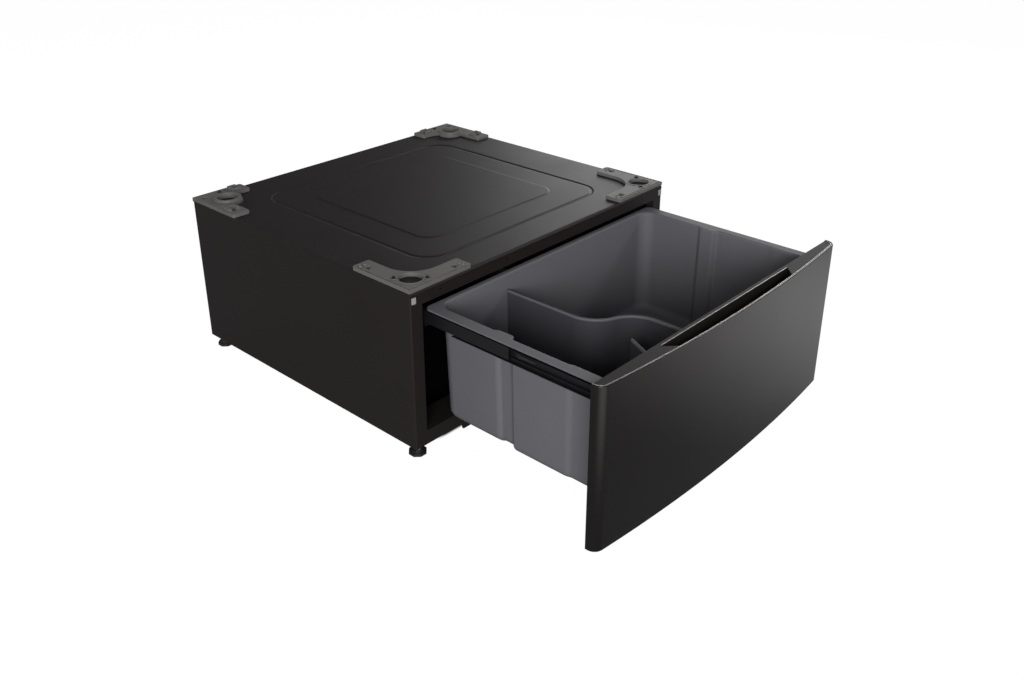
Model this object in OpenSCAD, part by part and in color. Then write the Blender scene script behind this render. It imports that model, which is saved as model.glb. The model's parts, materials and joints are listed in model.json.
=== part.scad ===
// Pedestal drawer for a front-loading washer, shown with its drawer pulled out.
// The cabinet's front face is y = 0 while the pieces are drawn, the floor is z = 0,
// and the drawer pulls out towards -y. The whole assembly is then centred over its
// own footprint, so the origin lies on the floor midway between panel and back.

/* [Cabinet] */
// Width over the side panels
cab_w = 737; // [600:1:800]
// Depth from the front face to the back edge of the top
cab_d = 665; // [560:1:760]
// Height of the sheet-metal case, without feet or brackets
cab_h = 312; // [290:1:420]
// Thickness of the case sheet
sheet_t = 1.2; // [0.8:0.1:1.6]
// Width of the front stiles
stile_w = 28; // [20:1:36]
// Depth of the fold behind each stile
stile_fold = 18; // [10:1:19]
// Height of the front top rail
top_rail_h = 19.5; // [14:0.5:24]
// Height of the front bottom rail
bottom_rail_h = 29; // [24:1:32]
// Drop of the bottom rail's middle below the case
apron_drop = 12; // [0:1:16]
// Radius of the rolled front edge of the top
nose_r = 6; // [3:0.5:8]

/* [Top beads] */
// Distance of the outer bead from each side
bead_side = 107.5; // [88:0.5:150]
// Distance of the outer bead from the front edge
bead_front = 72; // [60:1:110]
// Distance of the outer bead from the back edge
bead_back = 84; // [70:1:120]
// Corner radius of the outer bead
bead_r = 55; // [30:1:80]
// Width of the outer bead
bead_w = 12; // [8:1:20]
// Depth of the outer bead
bead_depth = 1.6; // [0.8:0.1:2.4]
// Distance from the outer bead to the raised field
field_inset = 75; // [40:1:100]
// Height of the raised field
field_h = 1.6; // [0.8:0.1:2.4]
// Corner radius of the raised field
field_r = 36; // [20:1:60]

/* [Washer brackets] */
// Thickness of the bracket plates
bracket_t = 7; // [5:0.5:10]
// Length of the bracket arms from the corner
arm_len = 150; // [120:1:180]
// Length of the rear brackets' cross arms
rear_arm_len = 116; // [100:1:150]
// Width of the bracket arms
arm_w = 39; // [30:1:46]
// Radius of the foot sockets
socket_r = 22; // [16:0.5:24]
// Distance of a front socket's centre from both outer faces
socket_inset = 36; // [32:1:40]
// Distance of a rear socket's centre from the side
rear_socket_x = 46; // [42:1:54]
// Distance of a rear socket's centre from the back
rear_socket_y = 60; // [52:1:70]
// Radius of the concave curve between the arms
arm_curve_r = 60; // [40:1:80]
// Height of the rear ring above its plate
ring_h = 5; // [3:0.5:8]
// Wall of the rear ring
ring_wall = 6; // [4:0.5:8]

/* [Feet] */
// Height of the case above the floor
foot_h = 25; // [20:1:40]
// Inset of each foot from the side and from the front or back
foot_inset = 22; // [21:0.5:23]
// Radius of the foot pads over their corners
pad_r = 17.5; // [14:0.5:20]
// Height of the foot pads
pad_h = 9; // [6:0.5:12]
// Radius of the foot studs
stud_r = 4; // [3:0.25:5]
// Height of the stud's collar
collar_h = 4.5; // [3:0.5:6]
// Top of the stud above the case's underside
stud_reach = 26; // [18:1:26]

/* [Slides] */
// Length of each slide member
slide_len = 400; // [390:1:460]
// Distance the drawer travels
travel = 381; // [300:1:385]
// Steel thickness of the slide members
member_t = 1; // [0.8:0.1:1.1]
// Radius of the slide balls
ball_r = 1.2; // [1:0.05:1.5]
// Clearance of a ball to each race
ball_gap = 0.1; // [0.05:0.01:0.2]
// Length of a ball cage
cage_len = 124; // [80:4:150]
// Number of balls in a row
ball_count = 6; // [3:1:8]
// Half height of the inner member
inner_half = 7.6; // [7:0.1:9]
// Length of the release lever
lever_len = 34; // [24:1:44]

/* [Drawer] */
// Distance of the panel's ends inside the case's sides
panel_reveal = 2; // [0.5:0.5:10]
// Bottom of the front panel above the floor
panel_z = 17; // [12:1:30]
// Height of the front panel
panel_h = 301; // [280:1:310]
// Depth of the panel at its middle
panel_depth = 41; // [38:1:60]
// How far the middle of the panel bows out past its ends
panel_bow = 20; // [10:0.5:22]
// Radius of the panel's upright edges
panel_edge_r = 18; // [10:0.5:18]
// Thickness of the panel skin
skin_t = 2; // [1:0.1:2.5]
// Gap between panel and case when shut
shut_gap = 4; // [3.5:0.5:8]
// Half length of the handle pocket at its back edge
pocket_half = 200; // [120:1:260]
// Distance of the pocket from the back of the panel
pocket_back = 9; // [8:0.5:14]
// Depth of the handle pocket
pocket_depth = 40; // [25:1:60]

/* [Bin] */
// Gap between the bin's rim flange and the front stiles
rim_gap = 10.5; // [9.5:0.5:14]
// Width of the rim flange beside the bin's walls
rim_w = 22; // [21.5:0.5:60]
// Radius of the rim's rounded inner edge
rim_r = 5; // [3.5:0.5:5]
// Length of the bin, front flange to rear rim
bin_len = 392; // [340:1:400]
// Height of the bin
bin_h = 224; // [150:1:236]
// Top of the rim above the floor
rim_z = 296; // [290:1:297]
// Wall of the bin
bin_wall = 3; // [2:0.25:4]
// Taper of the walls from rim to floor
bin_draft = 5; // [2:0.5:10]
// Radius of the corner between walls and floor
bin_floor_r = 14; // [6:1:24]
// Height of the divider
divider_h = 190; // [80:1:205]
// Thickness of the divider
divider_t = 3.5; // [2:0.25:5]
// Distance of the divider's rear end left of the middle
divider_rear = 130; // [80:1:180]
// Distance of the divider's front end left of the middle
divider_front = 46; // [0:1:70]
// Width of the bead along the divider's top edge
divider_bead = 6; // [4:0.5:8]
// Distance of the bottle rib's front end from the divider
rib_gap = 120; // [90:1:140]

/* [Hidden] */
$fn = 64;

// clearances
fit = 0.3;          // between pieces that only sit side by side
thread_gap = 0.08;  // radial, stud in nut
pin_gap = 0.06;     // radial, lever on its pin
eps = 0.01;         // overshoot of a cut

// case
half_w = cab_w / 2;
bead_half_w = half_w - bead_side;
panel_w = cab_w - 2 * panel_reveal;
case_z = foot_h;
top_z = foot_h + cab_h;
stile_in = half_w - stile_w;
fold_r = 3;                         // outside radius of the folded front corner
lip_z = top_z - nose_r - 2;         // lower end of the top's rolled front
back_y = cab_d - 4;                 // outer face of the recessed back panel
return_w = 16;                      // width of the case's folded returns
rear_rail_d = 50;
top_rail_depth = 28;
shelf_depth = 60;                   // depth of the bottom rail's top fold
foot_clear = 46;                    // length of base left open round each foot
channel_w = 47;
channel_h = 24;
channel_z = case_z + sheet_t;
hole_r = 2;                         // pilot holes of the top rail
hole_x = [125, 297];
hole_drop = 6;                      // of the holes, below the top of the rail
nut_h = 8;
nut_r = 7.5;
lock_nut_h = 5.5;
tab_w = 9;
tab_h = 12;
tab_t = 2;
head_r = 4.2;                       // screw heads
head_h = 2.4;
collar_w = 3.5;                     // collar round each front socket
collar_lip = 1;
ear = (socket_r + 7) / sqrt(2);     // from a front socket's centre to its screws
ear_spots = [[socket_inset + ear, socket_inset - ear], [socket_inset - ear, socket_inset + ear]];

// slide section, from the middle of its height outwards
flange_half_w = stile_in - rim_gap;
bin_half_w = flange_half_w - rim_w; // half width over the bin's rear walls
slide_in_x = flange_half_w - 12.5;  // inboard face of the inner member
slide_out_x = flange_half_w;        // outboard face of the outer member
race = 2 * (ball_r + ball_gap);
mid_half = inner_half + race + member_t;
outer_half = mid_half + race + member_t;
flange_z = rim_z - bin_wall;        // underside of the rim flange
rail_t = 1.2;
slide_z = flange_z - rail_t - 0.7 - outer_half;
mid_web_x = slide_out_x - member_t - 2.3;   // outboard face of the middle member
cage_t = 0.6;
cage_gap = 0.4;                     // between a cage and the web it runs along
outer_cage_x = slide_out_x - member_t - cage_gap;
inner_cage_x = mid_web_x - member_t - cage_gap;
outer_row = mid_half + race / 2;    // height of each ball row off the slide's middle
inner_row = inner_half + race / 2;
outer_ball_x = slide_out_x - 6;
inner_ball_x = slide_in_x + 4;
slide_y = 4;                        // front end of the outer member
outer_cage_y = slide_y + slide_len - travel / 2 - cage_len - 8;
inner_cage_y = slide_y - travel / 2 + 14;
rail_ledge = 12;                    // over the slide
rail_tab = 11;                      // width of its front tab
rail_foot = slide_z - outer_half - 1.4;
lever_y = -205;                     // pivot of the release lever
lever_pin_r = 2;
lever_t = 3.2;
hanger_end = slide_y + slide_len + 14;

// drawer
open_y = -(travel + shut_gap);      // back of the panel with the drawer out
bin_y = open_y;
bin_end = open_y + bin_len;
bin_z = rim_z - bin_h;
front_flange_t = 4;
rear_lip = 8;                       // overhang of the rim behind the bin
wing_h = 50;                        // height of the front flange's side wings
panel_screw_x = slide_in_x + 6;
panel_screw_z = [slide_z - 8, slide_z + 8];
rib_lean = 47;                      // of the bottle rib towards the divider
rib_run = 97;
rib_drop = 8;                       // of the rib's top below the divider's
panel_top = panel_z + panel_h;
bow_r = (pow(panel_w / 2, 2) + pow(panel_bow, 2)) / (2 * panel_bow);
bow_y = open_y - panel_depth + bow_r;
cap_drop = 1.6;                     // of the caps inside the skin's edge
cap_t = 2.5;
cap_gap = 0.2;                      // between the caps and the skin's lip
panel_lip = 1.2;                    // inward fold of the skin's ends
panel_lip_h = 6;
pocket_lip = 5;                     // between pocket and skin
pocket_slant = 34;
cup_wall = 2;
bumper_r = 6;

// frame
reach = -open_y + panel_depth;
mid_y = (cab_d - reach) / 2;

module placed() { translate([0, -mid_y, 0]) children(); }
module right() { mirror([1, 0, 0]) children(); }

// ---------------------------------------------------------------- basic shapes
module rounded(w, d, r) {
    square([w - 2 * r, d], center = true);
    square([w, d - 2 * r], center = true);
    for (sx = [-1, 1], sy = [-1, 1])
        translate([sx * (w / 2 - r), sy * (d / 2 - r)]) circle(r);
}

module ring_2d(w, d, r, band) {
    difference() {
        rounded(w, d, r);
        rounded(w - 2 * band, d - 2 * band, r - band);
    }
}

// extrudes an outline drawn in x and z along y
module along_y(from, to) {
    translate([0, to, 0]) rotate([90, 0, 0]) linear_extrude(to - from) children();
}

// extrudes an outline drawn in y and z along x
module along_x(from, to) {
    translate([from, 0, 0]) rotate([90, 0, 90]) linear_extrude(to - from) children();
}

module box(x, y, z) {
    translate([x[0], y[0], z[0]]) cube([x[1] - x[0], y[1] - y[0], z[1] - z[0]]);
}

module pan_head(r = head_r, h = head_h) {
    difference() {
        union() {
            cylinder(r = r, h = h * 0.6);
            translate([0, 0, h * 0.6]) cylinder(r1 = r, r2 = r * 0.7, h = h * 0.4);
        }
        translate([0, 0, h * 0.45]) cylinder(r = r * 0.45, h = h, $fn = 6);
    }
}

// a closed skin through outlines of equal length, from the first cap to the last
module skin(levels) {
    n = len(levels[0]);
    m = len(levels);
    points = [for (level = levels) each level];
    sides = [
        for (i = [0:m - 2], k = [0:n - 1])
            let (a = i * n + k, b = i * n + (k + 1) % n)
            each [[a, a + n, b], [b, a + n, b + n]]
    ];
    first = [[for (k = [0:n - 1]) k]];
    last = [[for (k = [n - 1:-1:0]) (m - 1) * n + k]];
    polyhedron(points, concat(sides, first, last));
}

// ------------------------------------------------------------------------ case
module top_panel() {
    bead_d = cab_d - bead_front - bead_back;
    bead_y = bead_front + bead_d / 2;
    field_w = 2 * (bead_half_w - field_inset);
    field_d = bead_d - 2 * field_inset;
    drop = 12;                          // of the flanges inside the case
    inner_w = half_w - sheet_t - fit;
    color("#3b3736") difference() {
        union() {
            box([-half_w, half_w], [nose_r, cab_d], [top_z - sheet_t, top_z]);
            along_x(-half_w, half_w) translate([nose_r, top_z - nose_r])
                intersection() {
                    difference() {
                        circle(nose_r);
                        circle(nose_r - sheet_t);
                    }
                    translate([-nose_r, 0]) square(nose_r);
                }
            box([-half_w, half_w], [0, sheet_t], [lip_z, top_z - nose_r]);
            for (x = [-half_w, half_w - sheet_t]) along_x(x, x + sheet_t) {
                translate([0, lip_z]) square([nose_r, top_z - nose_r - lip_z]);
                intersection() {
                    translate([nose_r, top_z - nose_r]) circle(nose_r);
                    translate([0, top_z - nose_r]) square(nose_r);
                }
            }
            for (s = [-1, 1])
                translate([s * (inner_w - sheet_t / 2), cab_d / 2, top_z - sheet_t - drop / 2])
                    cube([sheet_t, cab_d - 80, drop], center = true);
            translate([0, bead_y, top_z - sheet_t - bead_depth])
                linear_extrude(sheet_t + bead_depth)
                ring_2d(2 * (bead_half_w + sheet_t), bead_d + 2 * sheet_t,
                        bead_r + sheet_t, bead_w + 2 * sheet_t);
            translate([0, bead_y, top_z - sheet_t])
                linear_extrude(sheet_t + field_h) rounded(field_w, field_d, field_r);
        }
        translate([0, bead_y, top_z - bead_depth]) linear_extrude(bead_depth + 1)
            ring_2d(2 * bead_half_w, bead_d, bead_r, bead_w);
        translate([0, bead_y, top_z - sheet_t - 1]) linear_extrude(field_h + 1)
            rounded(field_w - 2 * sheet_t, field_d - 2 * sheet_t, field_r - sheet_t);
    }
}

// the left side: one sheet folded in at the front, the back and the bottom
module side_panel() {
    top = top_z - sheet_t;
    color("#262322") {
        difference() {
            union() {
                translate([0, 0, case_z]) linear_extrude(top - case_z) side_outline();
                box([-half_w + sheet_t - eps, -half_w + return_w],
                    [foot_clear, back_y - foot_clear], [case_z, case_z + sheet_t]);
            }
            // the stile stops under the top's rolled edge
            box([-half_w - 1, -stile_in + 1], [-1, nose_r], [lip_z, top_z]);
            // its fold starts above the foot's nuts
            box([-stile_in - sheet_t - 1, -stile_in + 1], [sheet_t, stile_fold + 1],
                [case_z - 1, channel_z + sheet_t + nut_h + 1]);
        }
    }
}

module side_outline() {
    translate([-half_w, fold_r]) square([sheet_t, back_y - fold_r]);
    translate([-half_w + fold_r, 0]) square([stile_w - fold_r, sheet_t]);
    translate([-half_w + fold_r, fold_r]) intersection() {
        difference() {
            circle(fold_r);
            circle(fold_r - sheet_t);
        }
        translate([-fold_r, -fold_r]) square(fold_r);
    }
    translate([-stile_in - sheet_t, 0]) square([sheet_t, stile_fold]);
    translate([-half_w, back_y - 2 * sheet_t]) square([return_w, sheet_t]);
}

// the back closes the case between the side returns, with pressed stiffening fields
module back_panel() {
    w = half_w - sheet_t - fit;
    z0 = case_z + fit;
    z1 = top_z - sheet_t - fit;
    fields = 3;
    margin = 40;                        // beside the outer fields
    pitch = 2 * (w - margin) / fields;
    field_w = pitch - 44;
    press_h = z1 - z0 - 90;
    press_r = 18;
    press = 5;
    color("#2a2726") difference() {
        union() {
            box([-w, w], [back_y - sheet_t, back_y], [z0, z1]);
            for (i = [0:fields - 1])
                translate([-w + margin + pitch * (i + 0.5), back_y - sheet_t, (z0 + z1) / 2])
                    rotate([90, 0, 0]) linear_extrude(press)
                    rounded(field_w, press_h, press_r);
        }
        for (i = [0:fields - 1])
            translate([-w + margin + pitch * (i + 0.5), back_y + 1, (z0 + z1) / 2])
                rotate([90, 0, 0]) linear_extrude(press + 1)
                rounded(field_w - 2 * sheet_t, press_h - 2 * sheet_t, press_r - sheet_t);
    }
}

module front_top_rail() {
    z0 = lip_z - top_rail_h;
    color("#3a3533") difference() {
        union() {
            box([-stile_in, stile_in], [0, sheet_t], [z0, lip_z - fit]);
            box([-stile_in, stile_in], [0, top_rail_depth], [z0, z0 + sheet_t]);
            box([-stile_in, stile_in], [top_rail_depth - sheet_t, top_rail_depth],
                [z0, top_z - sheet_t]);
        }
        for (x = hole_x, s = [-1, 1])
            translate([s * x, -1, lip_z - hole_drop]) rotate([-90, 0, 0])
                cylinder(r = hole_r, h = sheet_t + 2);
    }
}

// lower edge level with the case at its ends, dropping to an apron in the middle
module front_bottom_rail() {
    z1 = case_z + bottom_rail_h;
    bend_r = apron_drop / 2;
    bend_x = 252;
    color("#2a2625") {
        along_y(0, sheet_t) {
            translate([-stile_in, case_z]) square([2 * stile_in, bottom_rail_h]);
            translate([-bend_x, case_z - apron_drop / 2])
                square([2 * bend_x, apron_drop / 2 + eps]);
            translate([-bend_x + bend_r, case_z - apron_drop])
                square([2 * (bend_x - bend_r), apron_drop]);
            for (s = [-1, 1]) {
                translate([s * (bend_x - bend_r), case_z - bend_r]) circle(bend_r);
                translate([s * (bend_x + bend_r), case_z - bend_r]) difference() {
                    translate([-bend_r, 0]) square([2 * bend_r, bend_r + eps]);
                    circle(bend_r);
                    translate([s > 0 ? 0 : -2 * bend_r, -1]) square([2 * bend_r, bend_r + 2]);
                }
            }
        }
        box([-stile_in, stile_in], [0, shelf_depth], [z1 - sheet_t, z1]);
        box([-stile_in, stile_in], [shelf_depth - sheet_t, shelf_depth], [z1 - 12, z1]);
    }
}

module rear_bottom_rail() {
    w = half_w - sheet_t - channel_w - fit;
    y1 = back_y - 2 * sheet_t;
    y0 = y1 - rear_rail_d;
    color("#2a2625") {
        box([-w, w], [y0, y1], [channel_z, channel_z + sheet_t]);
        box([-w, w], [y0, y0 + sheet_t], [channel_z, channel_z + channel_h]);
        box([-w, w], [y1 - sheet_t, y1], [channel_z, channel_z + channel_h]);
    }
}

// carries the feet along the left side
module base_channel() {
    x0 = -half_w + sheet_t;
    x1 = x0 + channel_w;
    y0 = stile_fold + fit;
    y1 = back_y - 2 * sheet_t - fit;
    color("#2d2928") difference() {
        union() {
            box([x0, x1], [fold_r, y1], [channel_z, channel_z + sheet_t]);
            box([x1 - sheet_t, x1], [shelf_depth + fit, y1], [channel_z, channel_z + channel_h]);
            box([x0, x0 + sheet_t], [y0, y1], [channel_z, channel_z + channel_h]);
        }
        for (y = [foot_inset, cab_d - foot_inset])
            translate([-half_w + foot_inset, y, channel_z - 1])
                cylinder(r = stud_r + 0.6, h = 4);
    }
}

module each_foot() {
    for (s = [-1, 1], y = [foot_inset, cab_d - foot_inset])
        translate([s * (half_w - foot_inset), y, 0]) children();
}

module foot_nuts() {
    color("#b9bbbd") each_foot() translate([0, 0, channel_z + sheet_t]) difference() {
        cylinder(r = nut_r, h = nut_h, $fn = 6);
        translate([0, 0, -1]) cylinder(r = stud_r + thread_gap, h = nut_h + 2);
    }
}

module lock_nuts() {
    color("#b9bbbd") each_foot() translate([0, 0, channel_z - lock_nut_h]) difference() {
        cylinder(r = nut_r, h = lock_nut_h, $fn = 6);
        translate([0, 0, -1]) cylinder(r = stud_r + thread_gap, h = lock_nut_h + 2);
    }
}

// pale plugs at the top of both stiles
module corner_tabs() {
    color("#c9c7c2") for (s = [-1, 1])
        translate([s * (half_w - 8), -tab_t / 2, lip_z - tab_h / 2 - 1])
            cube([tab_w, tab_t, tab_h], center = true);
}

module case_screws() {
    w = half_w - sheet_t - 9;
    color("#55524f") {
        for (s = [-1, 1], z = [case_z + 30, (case_z + top_z) / 2, top_z - 30])
            translate([s * w, back_y, z]) rotate([-90, 0, 0]) pan_head();
        for (x = hole_x, s = [-1, 1])
            translate([s * x, back_y, case_z + 14]) rotate([-90, 0, 0]) pan_head();
    }
}

// -------------------------------------------------------------- washer brackets
// outline with the case corner at 0,0 and the arms along +x and +y
module arms_2d(len_x, len_y, r = 5) {
    translate([len_x / 2, arm_w / 2]) rounded(len_x, arm_w, r);
    translate([arm_w / 2, len_y / 2]) rounded(arm_w, len_y, r);
    difference() {
        square(arm_w + arm_curve_r);
        translate([arm_w + arm_curve_r, arm_w + arm_curve_r]) circle(arm_curve_r);
        translate([arm_w + arm_curve_r, arm_w]) square(arm_w + arm_curve_r);
        translate([arm_w, arm_w + arm_curve_r]) square(arm_w + arm_curve_r);
    }
}

// window and two lugs near the end of an arm that runs along +x
module arm_window() {
    translate([arm_len - 33, 10, -1]) linear_extrude(bracket_t + 3)
        polygon([[0, 0], [15, 2], [13, 12], [2, 14]]);
}

module arm_lugs() {
    for (p = [[-13, 9], [-13, 19], [-7, 14]])
        translate([arm_len + p[0], p[1], bracket_t - eps])
            cylinder(r1 = 2.6, r2 = 1.8, h = 2.2, $fn = 16);
}

module swap() { mirror([1, -1, 0]) children(); }

module front_bracket() {
    color("#6c6967") difference() {
        union() {
            linear_extrude(bracket_t - 1.5) arms_2d(arm_len, arm_len);
            linear_extrude(bracket_t) difference() {
                arms_2d(arm_len, arm_len);
                translate([2.5, 2.5]) square([arm_len - 12, 3]);
                translate([2.5, 2.5]) square([3, arm_len - 12]);
            }
            arm_lugs();
            swap() arm_lugs();
            translate([socket_inset, socket_inset, 0])
                cylinder(r = socket_r + collar_w, h = bracket_t + collar_lip);
            for (p = ear_spots) translate([p[0], p[1], 0])
                cylinder(r = head_r + 2, h = bracket_t + collar_lip);
        }
        arm_window();
        swap() arm_window();
        translate([socket_inset, socket_inset, -1]) cylinder(r = socket_r, h = bracket_t + 4);
    }
}

module rear_bracket() {
    color("#666361") difference() {
        union() {
            linear_extrude(bracket_t) arms_2d(rear_arm_len, arm_len);
            translate([rear_socket_x, rear_socket_y, 0])
                cylinder(r = socket_r + ring_wall + 2, h = bracket_t);
            translate([rear_socket_x, rear_socket_y, 0])
                cylinder(r = socket_r + ring_wall, h = bracket_t + ring_h);
            swap() translate([arm_len - 40, 6, 0]) window_frame();
            translate([rear_arm_len - 36, 6, 0]) window_frame();
        }
        swap() translate([arm_len - 40, 6, 0]) window_hole();
        translate([rear_arm_len - 36, 6, 0]) window_hole();
        translate([rear_socket_x, rear_socket_y, -1]) cylinder(r = socket_r, h = 30);
        translate([16, 22, -1]) cylinder(r = 6.5, h = 30);
    }
}

module window_frame() { cube([26, 24, bracket_t + ring_h]); }

module window_hole() {
    translate([5, 6, -1]) cube([14, 12, 30]);
    translate([19, -1, bracket_t]) cube([8, 26, 30]);
}

module at_corner(front, left) {
    translate([left ? -half_w : half_w, front ? 0 : cab_d, top_z])
        mirror([left ? 0 : 1, 0, 0]) mirror([0, front ? 0 : 1, 0]) children();
}

// fixing screws sit in the ears beside the front sockets and beside the rear rings
module bracket_screws() {
    color("#4a4745") for (left = [true, false]) {
        at_corner(true, left) for (p = ear_spots)
            translate([p[0], p[1], bracket_t + collar_lip]) pan_head();
        at_corner(false, left) translate([rear_socket_x + 10, 14, bracket_t]) pan_head();
    }
}

// ---------------------------------------------------------------------- slides
// hat section that carries the left slide on the side panel
module slide_hanger() {
    x0 = -half_w + sheet_t;
    x1 = -slide_out_x;
    h = outer_half - 1;
    foot = 10;
    color("#1e1d1f") along_y(stile_fold + 2, hanger_end) translate([0, slide_z]) {
        translate([x1 - sheet_t, -h]) square([sheet_t, 2 * h]);
        for (s = [-1, 1]) {
            translate([x0, s > 0 ? h - sheet_t : -h]) square([x1 - x0, sheet_t]);
            translate([x0, s > 0 ? h - sheet_t : -h - foot])
                square([sheet_t, foot + sheet_t]);
        }
    }
}

// a slide member's section: web at x, lips reaching to lip_x
module channel_2d(web_x, lip_x, half) {
    lo = min(web_x, lip_x);
    hi = max(web_x, lip_x);
    web = web_x < lip_x ? web_x : web_x - member_t;
    translate([web, -half]) square([member_t, 2 * half]);
    for (s = [-1, 1])
        translate([lo, s > 0 ? half - member_t : -half]) square([hi - lo, member_t]);
}

module slide_outer() {
    color("#17171a") along_y(slide_y, slide_y + slide_len) translate([0, slide_z])
        channel_2d(-slide_out_x, -slide_out_x + 9.5, outer_half);
}

module slide_middle() {
    color("#1d1d21") along_y(slide_y - travel / 2, slide_y - travel / 2 + slide_len)
        translate([0, slide_z])
        channel_2d(-mid_web_x, -mid_web_x + 6.8, mid_half);
}

module slide_inner() {
    web_in = -slide_in_x;
    y0 = slide_y - travel;
    color("#232328") {
        along_y(y0, y0 + slide_len) translate([0, slide_z])
            channel_2d(web_in, web_in - 6, inner_half);
        translate([web_in - member_t - lever_t - 0.5, lever_y, slide_z])
            rotate([0, 90, 0]) cylinder(r = lever_pin_r, h = lever_t + 0.5 + member_t / 2);
    }
}

// two ball strips and the web that joins them; half is the ball row's height
module cage(web_x, row_x, half, y0) {
    pitch = cage_len / ball_count;
    color("#8d8a80") difference() {
        union() {
            box([-web_x, -web_x + cage_t], [y0, y0 + cage_len],
                [slide_z - half, slide_z + half]);
            for (s = [-1, 1])
                box([-web_x, -row_x + ball_r + 1.4], [y0, y0 + cage_len],
                    [slide_z + s * half - 0.4, slide_z + s * half + 0.4]);
        }
        for (s = [-1, 1], i = [0:ball_count - 1])
            translate([-row_x, y0 + pitch * (i + 0.5), slide_z + s * half - 1])
                cylinder(r = ball_r + 0.25, h = 2);
    }
}

module balls(row_x, half, y0) {
    pitch = cage_len / ball_count;
    color("#d8dadc") for (s = [-1, 1], i = [0:ball_count - 1])
        translate([-row_x, y0 + pitch * (i + 0.5), slide_z + s * half])
            sphere(ball_r);
}

module outer_cage() { cage(outer_cage_x, outer_ball_x, outer_row, outer_cage_y); }
module inner_cage() { cage(inner_cage_x, inner_ball_x, inner_row, inner_cage_y); }
module outer_balls() { balls(outer_ball_x, outer_row, outer_cage_y); }
module inner_balls() { balls(inner_ball_x, inner_row, inner_cage_y); }

module release_lever() {
    x0 = -slide_in_x - member_t - lever_t - 0.25;
    color("#2b2b30") translate([x0, lever_y, slide_z]) rotate([90, 0, 90])
        difference() {
            linear_extrude(lever_t) {
                circle(4);
                polygon([[0, -3], [0, 3], [-lever_len, 2.2], [-lever_len, -1]]);
                translate([-lever_len, 0.6]) circle(1.6);
            }
            translate([0, 0, -1]) cylinder(r = lever_pin_r + pin_gap, h = lever_t + 2);
        }
}

// angle that carries the bin's flange and is screwed to the inner member
module drawer_rail() {
    x_in = -slide_in_x;
    y0 = open_y + front_flange_t;
    y1 = bin_end - rear_lip;
    color("#1a1a1e") difference() {
        union() {
            box([x_in, x_in + rail_t], [y0, y1], [rail_foot, flange_z]);
            box([x_in - rail_ledge, x_in + rail_t], [y0, y1], [flange_z - rail_t, flange_z]);
            box([x_in - 7, x_in + rail_t], [y0, y0 + 0.82 * slide_len],
                [rail_foot - rail_t, rail_foot]);
            box([x_in - rail_tab, x_in + rail_t], [y0, y0 + rail_t], [rail_foot, flange_z]);
        }
        // slots through the wide front end
        for (y = [24, 62])
            translate([x_in - 1, y0 + y, slide_z + outer_half - 4.5])
                cube([rail_t + 2, 12, 3]);
    }
}

module rail_screws() {
    color("#3a3a3e") for (s = [0, 1]) mirror([s, 0, 0])
        for (f = [0.1, 0.4, 0.75])
            translate([-slide_in_x + rail_t, open_y + f * slide_len, slide_z])
                rotate([0, 90, 0]) pan_head(3.6, 2);
}

// ------------------------------------------------------------------------- bin
// half outline of the bin, front middle to rear middle, drawn in by inset
function arc(cx, cy, r, a0, a1, n = 8) =
    [for (i = [0:n]) let (a = a0 + (a1 - a0) * i / n) [cx + r * cos(a), cy + r * sin(a)]];

bin_front_r = 20;
bin_rear_r = 30;
function zone_w(i) = bin_half_w + [2, 5, -5, 0][i];
zone_y = [83, 207, 243];            // where the walls step, from the front

bin_front = bin_y + rim_r - bin_wall;   // outer face of the front wall

function bin_half(inset) = let (
    front_r = max(bin_front_r - inset, 1.5),
    rear_r = max(bin_rear_r - inset, 1.5)
) concat(
    arc(zone_w(0) - inset - front_r, bin_front + inset + front_r, front_r, -90, 0),
    [
        [zone_w(0) - inset, bin_y + zone_y[0] - 5], [zone_w(1) - inset, bin_y + zone_y[0] + 5],
        [zone_w(1) - inset, bin_y + zone_y[1] - 3], [zone_w(2) - inset, bin_y + zone_y[1] + 3],
        [zone_w(2) - inset, bin_y + zone_y[2] - 3], [zone_w(3) - inset, bin_y + zone_y[2] + 3]
    ],
    arc(zone_w(3) - inset - rear_r, bin_end - rear_lip - inset - rear_r, rear_r, 0, 90)
);

function flange_half() = concat(
    arc(flange_half_w - 2, bin_y + 2, 2, -90, 0),
    [for (y = [zone_y[0] - 5, zone_y[0] + 5, zone_y[1] - 3, zone_y[1] + 3,
               zone_y[2] - 3, zone_y[2] + 3]) [flange_half_w, bin_y + y]],
    arc(flange_half_w - 12, bin_end - 12, 12, 0, 90)
);

function both_sides(half) = concat(
    half, [for (i = [len(half) - 1:-1:0]) [-half[i][0], half[i][1]]]
);

function level(half, z) = [for (p = both_sides(half)) [p[0], p[1], z]];

// taper at height z, plus the rounded foot of the wall
function wall_inset(z) =
    let (up = z - bin_z, r = bin_floor_r, taper = bin_draft * (1 - up / bin_h))
    taper + (up < r ? r - sqrt(r * r - pow(r - up, 2)) : 0);

floor_steps = [0, 0.08, 0.25, 0.5, 0.75, 1];

module drawer_bin() {
    outer_z = [for (f = floor_steps) bin_z + f * bin_floor_r];
    inner_z = [for (f = floor_steps) bin_z + f * bin_floor_r];
    under_r = rim_r - bin_wall;
    levels = concat(
        [for (z = outer_z) level(bin_half(wall_inset(z)), z)],
        [for (a = [90, 60, 30, 0]) level(bin_half(under_r * (sin(a) - 1)),
                                         flange_z - under_r * (1 - cos(a)))],
        [level(flange_half(), flange_z), level(flange_half(), rim_z)],
        [for (a = [0:15:90]) level(bin_half(bin_wall + rim_r * (sin(a) - 1)),
                                   rim_z - rim_r * (1 - cos(a)))],
        [for (i = [len(inner_z) - 1:-1:0])
            level(bin_half(bin_wall + wall_inset(inner_z[i])), inner_z[i] + bin_wall)]
    );
    color("#5c5d61") {
        skin(levels);
        front_flange();
    }
}

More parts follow.
